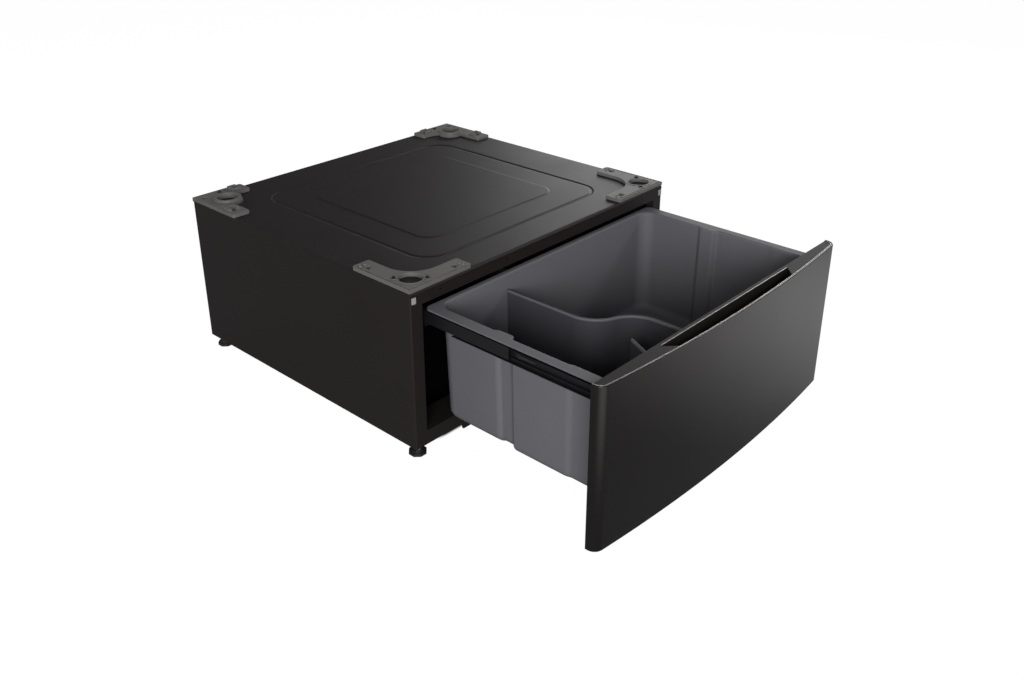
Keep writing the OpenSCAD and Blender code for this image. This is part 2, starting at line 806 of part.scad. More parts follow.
// upright flange that backs onto the panel
module front_flange() {
    difference() {
        union() {
            box([-flange_half_w, flange_half_w], [bin_y, bin_y + front_flange_t],
                [rim_z - wing_h, flange_z + 1]);
            box([-zone_w(0) - 2, zone_w(0) + 2], [bin_y, bin_y + front_flange_t],
                [bin_z, rim_z - wing_h + eps]);
        }
        box([-zone_w(0) + bin_front_r, zone_w(0) - bin_front_r],
            [bin_y - 1, bin_y + 20], [bin_z - 1, flange_z + 2]);
    }
}

// space between the bin's front and rear walls, clear of their rounded feet
module between_walls() {
    y0 = bin_front + bin_wall + fit;
    y1 = bin_end - rear_lip - bin_wall - fit;
    z0 = bin_z + bin_wall;
    foot = bin_draft + bin_floor_r;
    along_x(-bin_half_w, bin_half_w) polygon([
        [y0 + foot, z0], [y1 - foot, z0],
        [y1 - bin_draft, z0 + bin_floor_r], [y1, rim_z],
        [y0, rim_z], [y0 + bin_draft, z0 + bin_floor_r]
    ]);
}

// S-shaped path: straight at the back, two arcs, straight to the front
module divider_2d(half) {
    shift = divider_rear - divider_front;
    run = 120;
    turn = 2 * atan(shift / run);
    r = run / 2 / sin(turn);
    y_bend = bin_y + 225;
    translate([-divider_rear - half, y_bend]) square([2 * half, bin_end - y_bend]);
    translate([-divider_front - half, bin_y]) square([2 * half, y_bend - run - bin_y]);
    translate([-divider_rear + r, y_bend]) bend_2d(r, half, 180, turn);
    translate([-divider_front - r, y_bend - run]) bend_2d(r, half, 0, turn);
}

module bin_divider() {
    z0 = bin_z + bin_wall;
    foot_w = 18;
    color("#3a3a40") intersection() {
        union() {
            translate([0, 0, z0]) linear_extrude(divider_h) divider_2d(divider_t / 2);
            translate([0, 0, z0 + divider_h - divider_bead])
                linear_extrude(divider_bead) divider_2d(divider_bead / 2);
            translate([-divider_rear - foot_w / 2, bin_y + 225, z0])
                cube([foot_w, bin_len - 260, 2.5]);
        }
        between_walls();
    }
}

// part of a ring of radius r, swept by turn from angle a
module bend_2d(r, half, a, turn) {
    lap = 0.2;
    reach_r = 2 * r;
    intersection() {
        difference() {
            circle(r + half, $fn = 120);
            circle(r - half, $fn = 120);
        }
        polygon([[0, 0], for (k = [0:4]) let (b = a - lap + (turn + 2 * lap) * k / 4)
            [reach_r * cos(b), reach_r * sin(b)]]);
    }
}

module rib_2d(width) {
    long = norm([rib_lean, rib_run]);
    square([long, width]);
    translate([long, width / 2]) circle(width / 2, $fn = 32);
}

// short slanted wall that holds a bottle against the front
module bottle_rib() {
    z0 = bin_z + bin_wall;
    height = divider_h - rib_drop;
    color("#3d3d43") intersection() {
        translate([-divider_front - rib_gap, bin_y + bin_wall + front_flange_t, z0])
            rotate(atan2(rib_run, rib_lean)) {
                translate([-bin_floor_r, -divider_t / 2, 0])
                    linear_extrude(height) rib_2d(divider_t);
                translate([-bin_floor_r, -divider_bead / 2, height - divider_bead])
                    linear_extrude(divider_bead) rib_2d(divider_bead);
            }
        between_walls();
    }
}

// ----------------------------------------------------------------- front panel
// plan of the panel, drawn in by inset; its front is an arc, its ends are round
module panel_plan(inset, back) {
    r = panel_edge_r - inset;
    half = panel_w / 2;
    cx = half - panel_edge_r;
    cy = bow_y - sqrt(pow(bow_r - panel_edge_r, 2) - cx * cx);
    lean = atan2(cx, bow_y - cy);
    difference() {
        intersection() {
            translate([0, bow_y]) circle(bow_r - inset, $fn = 720);
            translate([-half + inset, open_y - panel_depth - 1])
                square([2 * (half - inset), panel_depth + 1 - back]);
        }
        for (s = [0, 1]) mirror([s, 0]) translate([cx, cy]) difference() {
            polygon([[0, 0], [60 * sin(lean), -60 * cos(lean)], [60, -60], [60, 0]]);
            circle(r);
        }
    }
}

module front_panel() {
    color("#2b2726") translate([0, 0, panel_z]) difference() {
        union() {
            translate([0, 0, panel_lip])
                linear_extrude(panel_h - 2 * panel_lip) panel_plan(0, 0);
            linear_extrude(panel_h) panel_plan(panel_lip, 0);
        }
        translate([0, 0, -1]) linear_extrude(panel_h + 2) panel_plan(skin_t + panel_lip, -5);
        translate([0, 0, panel_lip_h])
            linear_extrude(panel_h - 2 * panel_lip_h) panel_plan(skin_t, -5);
    }
}

module panel_back() {
    w = panel_w / 2 - skin_t - panel_lip - fit;
    z0 = panel_z + cap_drop + cap_t;
    z1 = panel_top - cap_drop - cap_t;
    color("#232020") box([-w, w], [open_y - sheet_t, open_y], [z0, z1]);
}

// crescent of the handle pocket
module pocket_2d(grow) {
    back = open_y - pocket_back;
    front = open_y - panel_depth;
    intersection() {
        translate([0, bow_y]) circle(bow_r - skin_t - pocket_lip + grow, $fn = 720);
        polygon([
            [-pocket_half - grow, back + grow], [pocket_half + grow, back + grow],
            [pocket_half - pocket_slant + grow, front], [-pocket_half + pocket_slant - grow, front]
        ]);
    }
}

module panel_top_cap() {
    color("#2f2b2a") translate([0, 0, panel_top - cap_drop - cap_t])
        linear_extrude(cap_t) difference() {
            panel_plan(skin_t + panel_lip + cap_gap, 0);
            pocket_2d(cup_wall);
        }
}

module panel_bottom_cap() {
    color("#2f2b2a") translate([0, 0, panel_z + cap_drop])
        linear_extrude(cap_t) panel_plan(skin_t + panel_lip + cap_gap, 0);
}

module handle_cup() {
    z1 = panel_top - cap_drop;
    color("#1f1c1c") difference() {
        translate([0, 0, z1 - pocket_depth]) linear_extrude(pocket_depth) pocket_2d(cup_wall);
        translate([0, 0, z1 - pocket_depth + cup_wall]) linear_extrude(pocket_depth) pocket_2d(0);
    }
}

module panel_screws() {
    y = open_y + front_flange_t + rail_t;
    color("#3a3a3e") for (s = [-1, 1], z = panel_screw_z)
        translate([s * panel_screw_x, y, z])
            rotate([-90, 0, 0]) pan_head(3.6, 2);
}

module panel_bumpers() {
    t = shut_gap - fit;
    color("#3f3f42") for (s = [-1, 1], z = [panel_z + 45, panel_top - 30])
        translate([s * (half_w - stile_w / 2), open_y, z]) rotate([-90, 0, 0])
            cylinder(r = bumper_r, h = t);
}

// ------------------------------------------------------------------------ feet
module foot_pad() {
    color("#1b1b1c") {
        rotate(22.5) cylinder(r = pad_r, h = pad_h - 3, $fn = 8);
        translate([0, 0, pad_h - 3]) cylinder(r = pad_r * 0.72, h = 3);
    }
}

module foot_stud() {
    color("#cfd1d2") {
        translate([0, 0, pad_h]) cylinder(r = 8, h = collar_h, $fn = 6);
        translate([0, 0, pad_h + collar_h])
            cylinder(r = stud_r, h = case_z + stud_reach - pad_h - collar_h);
    }
}

module at_foot(front, left) {
    translate([(left ? -1 : 1) * (half_w - foot_inset),
               front ? foot_inset : cab_d - foot_inset, 0]) children();
}

// ---------------------------------------------------------------------- pieces
placed() top_panel();
placed() side_panel();  // side_panel_left
placed() right() side_panel();  // side_panel_right
placed() back_panel();
placed() front_top_rail();
placed() front_bottom_rail();
placed() rear_bottom_rail();
placed() base_channel();  // base_channel_left
placed() right() base_channel();  // base_channel_right
placed() foot_nuts();
placed() lock_nuts();
placed() corner_tabs();
placed() case_screws();
placed() at_corner(true, true) front_bracket();  // bracket_front_left
placed() at_corner(true, false) front_bracket();  // bracket_front_right
placed() at_corner(false, true) rear_bracket();  // bracket_rear_left
placed() at_corner(false, false) rear_bracket();  // bracket_rear_right
placed() bracket_screws();
placed() slide_hanger();  // slide_hanger_left
placed() right() slide_hanger();  // slide_hanger_right
placed() slide_outer();  // slide_outer_left
placed() right() slide_outer();  // slide_outer_right
placed() slide_middle();  // slide_middle_left
placed() right() slide_middle();  // slide_middle_right
placed() slide_inner();  // slide_inner_left
placed() right() slide_inner();  // slide_inner_right
placed() outer_cage();  // cage_outer_left
placed() right() outer_cage();  // cage_outer_right
placed() inner_cage();  // cage_inner_left
placed() right() inner_cage();  // cage_inner_right
placed() outer_balls();  // balls_outer_left
placed() right() outer_balls();  // balls_outer_right
placed() inner_balls();  // balls_inner_left
placed() right() inner_balls();  // balls_inner_right
placed() release_lever();  // release_lever_left
placed() right() release_lever();  // release_lever_right
placed() drawer_rail();  // drawer_rail_left
placed() right() drawer_rail();  // drawer_rail_right
placed() rail_screws();
placed() drawer_bin();
placed() bin_divider();
placed() bottle_rib();
placed() front_panel();
placed() panel_back();
placed() panel_top_cap();
placed() panel_bottom_cap();
placed() handle_cup();
placed() panel_screws();
placed() panel_bumpers();
placed() at_foot(true, true) foot_pad();  // foot_pad_front_left
placed() at_foot(true, false) foot_pad();  // foot_pad_front_right
placed() at_foot(false, true) foot_pad();  // foot_pad_rear_left
placed() at_foot(false, false) foot_pad();  // foot_pad_rear_right
placed() at_foot(true, true) foot_stud();  // foot_stud_front_left
placed() at_foot(true, false) foot_stud();  // foot_stud_front_right
placed() at_foot(false, true) foot_stud();  // foot_stud_rear_left
placed() at_foot(false, false) foot_stud();  // foot_stud_rear_right
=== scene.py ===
import json
import math
import bmesh
import bpy
from mathutils import Matrix, Vector


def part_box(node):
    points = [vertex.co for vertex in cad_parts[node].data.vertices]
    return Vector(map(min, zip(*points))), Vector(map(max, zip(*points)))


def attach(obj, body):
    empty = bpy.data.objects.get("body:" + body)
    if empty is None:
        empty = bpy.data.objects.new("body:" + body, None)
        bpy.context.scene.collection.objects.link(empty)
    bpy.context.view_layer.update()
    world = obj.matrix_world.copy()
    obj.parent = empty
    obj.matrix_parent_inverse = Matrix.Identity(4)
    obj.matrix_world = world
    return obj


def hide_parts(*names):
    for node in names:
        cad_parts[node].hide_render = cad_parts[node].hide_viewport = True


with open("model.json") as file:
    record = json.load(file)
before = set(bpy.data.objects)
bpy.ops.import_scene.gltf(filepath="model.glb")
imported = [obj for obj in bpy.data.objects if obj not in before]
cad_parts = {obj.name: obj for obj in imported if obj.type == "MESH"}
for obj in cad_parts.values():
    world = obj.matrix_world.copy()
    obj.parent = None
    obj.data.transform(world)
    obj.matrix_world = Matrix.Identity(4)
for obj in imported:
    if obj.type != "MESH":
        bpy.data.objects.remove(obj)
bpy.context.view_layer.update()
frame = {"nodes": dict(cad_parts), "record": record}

mm = 0.001
weld = 0.00001  # verts nearer than this are one
cadNodes = frame["nodes"]
caseLow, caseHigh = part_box("side_panel_left")  # its front face is the case's front
frontY = caseLow.y


# a socket that maths can be done on: each sign adds a Math node
class Value:
    def __init__(self, nodes, socket):
        self.nodes = nodes
        self.socket = socket

    def maths(self, operation, first, second):
        return self.nodes.add("ShaderNodeMath", {"operation": operation}, {0: first, 1: second})

    def other(self, name):  # another output of the same node
        return Value(self.nodes, self.socket.node.outputs[name])

    def __add__(self, other):
        return self.maths("ADD", self, other)

    def __sub__(self, other):
        return self.maths("SUBTRACT", self, other)

    def __rsub__(self, other):
        return self.maths("SUBTRACT", other, self)

    def __mul__(self, other):
        return self.maths("MULTIPLY", self, other)

    def __pow__(self, other):
        return self.maths("POWER", self, other)

    __radd__ = __add__
    __rmul__ = __mul__


# one node tree, with short ways to fill it
class Nodes:
    def __init__(self, tree):
        self.tree = tree

    def add(self, kind, settings, sockets, out=0):
        node = self.tree.nodes.new(kind)
        for key, setting in settings.items():
            setattr(node, key, setting)
        for key, amount in sockets.items():
            self.feed(node.inputs[key], amount)
        return Value(self, node.outputs[out])

    def feed(self, socket, amount):
        if isinstance(amount, Value):
            self.tree.links.new(amount.socket, socket)
        else:
            socket.default_value = amount

    def mixColours(self, factor, first, second):
        return self.add("ShaderNodeMix", {"data_type": "RGBA"}, {0: factor, 6: first, 7: second}, 2)

    def between(self, amount, low, high, atLow, atHigh):  # a soft step
        return self.add("ShaderNodeMapRange", {"interpolation_type": "SMOOTHSTEP"},
                        {"Value": amount, "From Min": low, "From Max": high,
                         "To Min": atLow, "To Max": atHigh})


# one material
class Finish(Nodes):
    def __init__(self, name, **constants):
        self.material = bpy.data.materials.new(name)
        self.material.use_nodes = True
        Nodes.__init__(self, self.material.node_tree)
        self.shader = self.tree.nodes["Principled BSDF"]
        for socket, amount in constants.items():
            self.shader.inputs[socket.replace("_", " ")].default_value = amount
        self.place = self.add("ShaderNodeTexCoord", {}, {}, "Object")

    def noise(self, scale, detail=3.0, place=None):
        return self.add("ShaderNodeTexNoise", {}, {"Vector": place or self.place, "Scale": scale,
                                                   "Detail": detail, "Roughness": 0.55})

    def set(self, socket, amount):
        self.feed(self.shader.inputs[socket], amount)

    def tone(self, first, second, share, dark, light):  # colour from a share of each pattern
        pattern = first * share + second * (1 - share)
        self.set("Base Color", self.mixColours(pattern, dark, light))

    def bump(self, height, distance):
        self.set("Normal", self.add("ShaderNodeBump", {}, {
            "Height": height, "Distance": distance, "Strength": 1.0}, "Normal"))

    def stretched(self, along):  # coordinates drawn out along one axis
        scale = [1.0, 1.0, 1.0]
        scale["xyz".index(along)] = 0.02
        return self.add("ShaderNodeMapping", {}, {"Vector": self.place, "Scale": scale})


def grey(*levels):  # one level, or red, green and blue
    red, green, blue = levels if len(levels) == 3 else levels * 3
    return (red, green, blue, 1.0)


paintSet = {"dark": grey(0.0125, 0.0092, 0.0092), "light": grey(0.0180, 0.0136, 0.0138),
            "cloud": 6.0, "grain": 2600.0, "cloudShare": 0.7, "rough": 0.43, "roughSpread": 0.10,
            "peel": 520.0, "grainHeight": 0.25, "peelDepth": 0.00004}


def casePaint():  # satin enamel with a faint orange peel
    s = paintSet
    finish = Finish("casePaint", Specular_IOR_Level=0.30)
    cloud = finish.noise(s["cloud"])
    grain = finish.noise(s["grain"], 2.0)
    finish.tone(cloud, grain, s["cloudShare"], s["dark"], s["light"])
    finish.set("Roughness", cloud * s["roughSpread"] + s["rough"])
    finish.bump(finish.noise(s["peel"]) + grain * s["grainHeight"], s["peelDepth"])
    return finish.material


plasticSet = {"cloud": 9.0, "cloudShare": 0.6, "roughSpread": 0.14}


def mouldedPlastic(name, dark, light, rough, texture=2200.0, depth=0.00006, level=0.45):
    finish = Finish(name, Specular_IOR_Level=level)
    cloud = finish.noise(plasticSet["cloud"])
    spark = finish.noise(texture, 4.0)
    finish.tone(cloud, spark, plasticSet["cloudShare"], dark, light)
    finish.set("Roughness", rough + spark * plasticSet["roughSpread"])
    finish.bump(spark, depth)
    return finish.material


lacquerSet = {"dark": grey(0.030, 0.0265, 0.026), "light": grey(0.046, 0.0415, 0.040),
              "cloud": 4.0, "lines": 900.0, "lineShare": 0.6, "lineDepth": 0.000004,
              "rough": 0.22, "roughSpread": 0.06, "coat": 0.2, "coatSpread": 0.2}


def panelMetal():  # dark lacquer over a fine horizontal brush
    s = lacquerSet
    finish = Finish("panelMetal", Metallic=0.9, Coat_Roughness=0.20, Coat_IOR=1.4)
    brush = finish.noise(s["lines"], 3.0, finish.stretched("x"))
    cloud = finish.noise(s["cloud"])
    finish.tone(brush, cloud, s["lineShare"], s["dark"], s["light"])
    finish.set("Roughness", brush * s["roughSpread"] + s["rough"])
    finish.set("Coat Weight", s["coat"] + cloud * s["coatSpread"])
    finish.bump(brush, s["lineDepth"])
    return finish.material


steelSet = {"cloud": 30.0, "lines": 700.0, "lineShare": 0.5, "lineDepth": 0.00001,
            "roughSpread": 0.16}


def steel(name, dark, light, rough, metallic=1.0, along="y"):
    finish = Finish(name, Metallic=metallic)
    drawn = finish.noise(steelSet["lines"], 3.0, finish.stretched(along))
    cloud = finish.noise(steelSet["cloud"])
    finish.tone(drawn, cloud, steelSet["lineShare"], dark, light)
    finish.set("Roughness", cloud * steelSet["roughSpread"] + rough)
    finish.bump(drawn, steelSet["lineDepth"])
    return finish.material


finishes = {
    "case": casePaint(),
    "bracket": mouldedPlastic("bracketPlastic", grey(0.122, 0.118, 0.115),
                              grey(0.158, 0.152, 0.148), 0.48),
    "bin": mouldedPlastic("binPlastic", grey(0.118, 0.119, 0.130), grey(0.145, 0.146, 0.160), 0.50,
                          level=0.25),
    # the divider is the bin's plastic, toned darker as painted shade for its shaded faces
    "divider": mouldedPlastic("dividerPaintedShadePlastic", grey(0.050, 0.050, 0.058),
                              grey(0.066, 0.066, 0.076), 0.50, level=0.25),
    "slide": steel("slideCoat", grey(0.0045, 0.0045, 0.0065), grey(0.008, 0.008, 0.011), 0.34,
                   metallic=0.0),
    "bare_steel": steel("zincPlate", grey(0.42, 0.42, 0.40), grey(0.58, 0.58, 0.56), 0.34),
    "bright": steel("brightSteel", grey(0.66, 0.67, 0.69), grey(0.80, 0.81, 0.83), 0.22, along="z"),
    "panel": panelMetal(),
    "trim": mouldedPlastic("glossTrim", grey(0.0125, 0.0105, 0.0100), grey(0.020, 0.017, 0.016),
                           0.46, texture=1400.0, depth=0.00002, level=0.12),
    "tab": mouldedPlastic("paleTab", grey(0.30, 0.295, 0.28), grey(0.38, 0.37, 0.35), 0.45),
    "foot_rubber": mouldedPlastic("footRubber", grey(0.009, 0.009, 0.010),
                                  grey(0.018, 0.018, 0.019), 0.50, texture=900.0, depth=0.0001),
    "lever": mouldedPlastic("leverPlastic", grey(0.016, 0.016, 0.019), grey(0.026, 0.026, 0.030),
                            0.38),
}
slotOf = {part["node"]: part["material_slot"] for part in frame["record"]["subparts"]}
bodyOf = {node: body for body, nodes in frame["record"]["behaviour"]["bodies"].items()
          for node in nodes}
for node, piece in cadNodes.items():
    piece.data.materials.clear()
    piece.data.materials.append(finishes[slotOf[node]])
print("finishes on", len(cadNodes), "nodes")


edgeSet = {"steps": 3, "angle": 45}  # of a piece's own bevel


# shape is a bmesh; the piece stands for the CAD node, or rides beside it
def makePiece(name, shape, node, stands=True, sharp=32, wall=0, middle=False, even=True, edge=0,
              slot=None):
    mesh = bpy.data.meshes.new(name)
    shape.to_mesh(mesh)
    shape.free()
    mesh.shade_smooth()
    mesh.set_sharp_from_angle(angle=math.radians(sharp))
    piece = bpy.data.objects.new(name, mesh)
    bpy.context.scene.collection.objects.link(piece)
    piece.data.materials.append(finishes[slot or slotOf[node]])
    if wall:
        solidify = piece.modifiers.new("wall", "SOLIDIFY")
        solidify.thickness = wall * mm
        solidify.offset = 0 if middle else -1
        solidify.use_even_offset = even
    if edge:
        bevel = piece.modifiers.new("edge", "BEVEL")
        bevel.width = edge * mm
        bevel.segments = edgeSet["steps"]
        bevel.limit_method = "ANGLE"
        bevel.angle_limit = math.radians(edgeSet["angle"])
    shading = piece.modifiers.new("shading", "WEIGHTED_NORMAL")
    shading.keep_sharp = True
    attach(piece, bodyOf[node])
    if stands:
        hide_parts(node)


def bevelEdges(shape, edges, width):
    bmesh.ops.bevel(shape, geom=edges, offset=width, offset_type="OFFSET", segments=2,
                    profile=0.5, affect="EDGES", material=-1, clamp_overlap=True)


def vertsOf(geom):
    return [item for item in geom if isinstance(item, bmesh.types.BMVert)]


def edgesOf(geom):
    return [item for item in geom if isinstance(item, bmesh.types.BMEdge)]


# a flat face through a few points, its corners rounded
def roundedFace(shape, points, radii, height, steps):
    corners = [shape.verts.new((x, y, height)) for x, y in points]
    shape.faces.new(corners)
    for radius in sorted(set(radii)):
        group = [corner for corner, own in zip(corners, radii) if own == radius]
        bmesh.ops.bevel(shape, geom=group, offset=radius, offset_type="OFFSET", segments=steps,
                        profile=0.5, affect="VERTICES", material=-1, clamp_overlap=False)


def looseRim(shape, before):  # the newest face goes and its edges stay
    face = [each for each in shape.faces if each not in before][0]
    edges = list(face.edges)
    bmesh.ops.delete(shape, geom=[face], context="FACES_ONLY")
    return edges


# draws an open rim on through (half width, half depth, height) steps
def climb(shape, edges, centreY, steps):
    about = Matrix.Translation((0, -centreY, 0))
    for before, after in zip(steps, steps[1:]):
        made = bmesh.ops.extrude_edge_only(shape, edges=edges)["geom"]
        edges = edgesOf(made)
        bmesh.ops.scale(shape, vec=(after[0] / before[0], after[1] / before[1], 1), space=about,
                        verts=vertsOf(made))
        bmesh.ops.translate(shape, vec=(0, 0, after[2] - before[2]), verts=vertsOf(made))
    return edges


def faceUpward(shape):  # turns an open sheet so that its largest face looks up
    bmesh.ops.recalc_face_normals(shape, faces=shape.faces)
    if max(shape.faces, key=lambda each: each.calc_area()).normal.z < 0:
        bmesh.ops.reverse_faces(shape, faces=shape.faces)


def slab(shape, low, high, edge):  # a block between two corners
    made = bmesh.ops.create_cube(shape, size=1)["verts"]
    bmesh.ops.scale(shape, vec=Vector(high) - Vector(low), verts=made)
    bmesh.ops.translate(shape, vec=(Vector(high) + Vector(low)) / 2, verts=made)
    bevelEdges(shape, list({each for corner in made for each in corner.link_edges}), edge)


def runTo(shape, tip, point):  # draws a path on to a point
    made = bmesh.ops.extrude_vert_indiv(shape, verts=[tip])["verts"][0]
    made.co = point
    return made


def turnBy(shape, tip, centre, angle, steps):  # and round a centre
    made = bmesh.ops.spin(shape, geom=[tip], cent=centre, axis=(0, 0, 1), angle=angle, steps=steps,
                          use_duplicate=False)
    return vertsOf(made["geom_last"])[0]


def raised(shape, height):  # lifts a drawn path into a sheet
    made = bmesh.ops.extrude_edge_only(shape, edges=shape.edges[:])["geom"]
    bmesh.ops.translate(shape, vec=(0, 0, height), verts=vertsOf(made))


cameraSet = {"azimuth": -47.672, "elevation": 24.479, "focal": 1014.5, "rise": -70,
             "pictureWidth": 1024, "sensor": 36,
             "place": (-1.3839, -1.1574, 1.0541)}  # from the case's lower front edge


def addCamera():
    s = cameraSet
    data = bpy.data.cameras.new("camera")
    data.sensor_width = s["sensor"]
    data.lens = s["focal"] / s["pictureWidth"] * s["sensor"]
    data.shift_y = s["rise"] / s["pictureWidth"]
    camera = bpy.data.objects.new("camera", data)
    bpy.context.scene.collection.objects.link(camera)
    camera.location = Vector(s["place"]) + Vector((0, frontY, caseLow.z))
    camera.rotation_euler = (math.radians(90 - s["elevation"]), 0, math.radians(s["azimuth"]))
    bpy.context.scene.camera = camera


lightSet = {  # place, aim, size, power
    "keyLight": ((-2.8, -2.4, 1.3), (0, -0.1, 0.15), (2.0, 1.5), 125),
    "topLight": ((-0.3, -0.4, 3.2), (0, -0.1, 0.2), (2.0, 2.0), 5),
    "sideLight": ((3.25, 1.05, 1.45), (0.2, 0, 0.3), (2.9, 1.5), 46),
    "frontLight": ((2.1, -2.1, 1.7), (0.1, -0.3, 0.3), (0.7, 0.5), 13),
    "rearLight": ((-1.2, 3.2, 1.7), (0, 0.3, 0.2), (1.6, 1.2), 22),
}


def addLight(name, place, aim, size, power):
    data = bpy.data.lights.new(name, "AREA")
    data.shape = "RECTANGLE"
    data.size, data.size_y = size
    data.energy = power
    light = bpy.data.objects.new(name, data)
    bpy.context.scene.collection.objects.link(light)
    light.location = place
    light.rotation_euler = (Vector(aim) - Vector(place)).to_track_quat("-Z", "Y").to_euler()


worldSet = {"ambient": 0.10}


def addWorld():  # white to the camera, and dim for everything else
    world = bpy.data.worlds.new("studio")
    bpy.context.scene.world = world
    world.use_nodes = True
    nodes = Nodes(world.node_tree)
    camera = nodes.add("ShaderNodeLightPath", {}, {}, "Is Camera Ray")
    seen = camera + camera.other("Is Transmission Ray")
    colour = nodes.mixColours(seen, grey(worldSet["ambient"]), grey(1.0))
    nodes.feed(world.node_tree.nodes["Background"].inputs["Color"], colour)


# the dark shade and its four margins paint a shadow on the floor under the case
floorSet = {"size": 14, "cloud": 3.0, "shade": 0.28, "lightShade": 1.03, "white": 0.88, "glow": 1.12,
            "paintedShadowShade": 0.015, "paintedShadowLeft": (0.07, 0.10), "paintedShadowRight": (-0.004, 0.004),
            "paintedShadowFront": (0.02, 0.028), "paintedShadowRear": (-0.15, -0.06), "paintedPoolLow": 0.03,
            # painted light: pools of bright paper seen only by glossy rays
            "paintedPools": [((0.7, -1.15), 0.2, 0.9, 0.7),  # centre, inner and outer radius, level
                      ((-0.7, -1.2), 0.2, 0.65, 1.0)]}


def floorPaper():
    s = floorSet
    finish = Finish("floorPaper", Roughness=0.9, Specular_IOR_Level=0.0)
    x = finish.add("ShaderNodeSeparateXYZ", {}, {0: finish.place}, "X")
    y = x.other("Y")

    def side(amount, start, margins, atLow, atHigh):
        return finish.between(amount, start + margins[0], start + margins[1], atLow, atHigh)

    # painted shadow: the floor inside the case is dark paper without the glow
    under = (side(x, caseLow.x, s["paintedShadowLeft"], 0, 1) * side(x, -caseLow.x, s["paintedShadowRight"], 1, 0)
             * side(y, frontY, s["paintedShadowFront"], 0, 1) * side(y, caseHigh.y, s["paintedShadowRear"], 1, 0))
    paper = finish.mixColours(finish.noise(s["cloud"]), grey(s["shade"]),
                              grey(s["shade"] * s["lightShade"]))
    finish.set("Base Color", finish.mixColours(under, paper, grey(s["paintedShadowShade"])))
    paintedPool = s["paintedPoolLow"]
    for (atX, atY), inner, outer, level in s["paintedPools"]:  # painted light: bright pools on the paper that only gloss picks up, a painted reflection on the panel
        away = ((x - atX) ** 2 + (y - atY) ** 2) ** 0.5
        paintedPool = paintedPool + finish.between(away, inner, outer, level, 0)
    camera = finish.add("ShaderNodeLightPath", {}, {}, "Is Camera Ray")
    clear = camera.other("Is Transmission Ray")
    seen = ((camera + clear) * s["white"] + camera.other("Is Glossy Ray") * paintedPool) * (1 - under)
    glow = finish.add("ShaderNodeEmission", {}, {"Strength": s["glow"]})
    mix = finish.add("ShaderNodeMixShader", {}, {
        0: seen, 1: Value(finish, finish.shader.outputs[0]), 2: glow})
    finish.feed(finish.tree.nodes["Material Output"].inputs["Surface"], mix)
    return finish.material


def addFloor():
    shape = bmesh.new()
    bmesh.ops.create_grid(shape, x_segments=1, y_segments=1, size=floorSet["size"])
    mesh = bpy.data.meshes.new("studioFloor")
    shape.to_mesh(mesh)
    shape.free()
    floor = bpy.data.objects.new("studioFloor", mesh)
    bpy.context.scene.collection.objects.link(floor)
    mesh.materials.append(floorPaper())


addCamera()
addWorld()
addFloor()
for name, (place, aim, size, power) in lightSet.items():
    addLight(name, place, aim, size, power)
bpy.context.scene.view_settings.view_transform = "Standard"
print("stage is set")


topSet = {"sheet": 1.2, "sideGap": 0.02, "cornerRadius": 0.3, "nose": 6.0, "noseSteps": 6, "lip": 2.0,
          "beadSide": 107.5, "beadFront": 72, "beadBack": 84, "beadRadius": 55, "beadWidth": 12,
          "beadDepth": 1.6, "beadSteps": 10, "fieldInset": 75, "fieldRise": 1.6, "fieldRadius": 36,
          "fieldSteps": 4, "shoulder": 3.0, "arcSteps": 14, "sharp": 40,
          "near": 0.4, "rollReach": 0.1, "endReach": 1.0, "arcLength": 10}  # for picking edges


def oblong(halfWidth, front, back):
    return [(-halfWidth, front), (halfWidth, front), (halfWidth, back), (-halfWidth, back)]


def topRims():  # inset, rise and corner radius of each loop from the bead inwards
    s = topSet
    rims = []
    for step in range(s["beadSteps"] + 1):
        share = step / s["beadSteps"]
        sink = s["beadDepth"] * 0.5 * (1 - math.cos(2 * math.pi * share))
        rims.append((share * s["beadWidth"], -sink, s["beadRadius"] - share * s["beadWidth"]))
    for step in range(s["fieldSteps"] + 1):
        share = step / s["fieldSteps"]
        rise = s["fieldRise"] * 0.5 * (1 - math.cos(math.pi * share))
        rims.append((s["fieldInset"] + (share - 0.5) * 2 * s["shoulder"], rise,
                     s["fieldRadius"] - share * s["shoulder"]))
    return rims


def rollFront(shape, rim, halfWidth, noseY, flat):  # bends the front edge down into a lip
    s = topSet
    edge = [each for each in rim if each.calc_length() > halfWidth
            and all(abs(corner.co.y - noseY) < s["near"] * mm for corner in each.verts)]
    rolled = bmesh.ops.spin(shape, geom=edge, cent=(0, noseY, flat - s["nose"] * mm),
                            axis=(1, 0, 0), angle=math.pi / 2, steps=s["noseSteps"],
                            use_duplicate=False)
    lip = bmesh.ops.extrude_edge_only(shape, edges=edgesOf(rolled["geom_last"]))["geom"]
    bmesh.ops.translate(shape, vec=(0, 0, -s["lip"] * mm), verts=vertsOf(lip))
    for side in (-1, 1):  # the roll's open ends are closed
        arc = [each for each in shape.edges if len(each.link_faces) == 1
               and all(corner.co.y < noseY + s["rollReach"] * mm
                       and corner.co.x * side > halfWidth - s["endReach"] * mm
                       for corner in each.verts) and each.calc_length() < s["arcLength"] * mm]
        fan = vertsOf(bmesh.ops.extrude_edge_only(shape, edges=arc)["geom"])
        bmesh.ops.pointmerge(shape, verts=fan, merge_co=(
            side * (halfWidth - s["cornerRadius"] * mm), noseY, flat - (s["nose"] + s["lip"]) * mm))


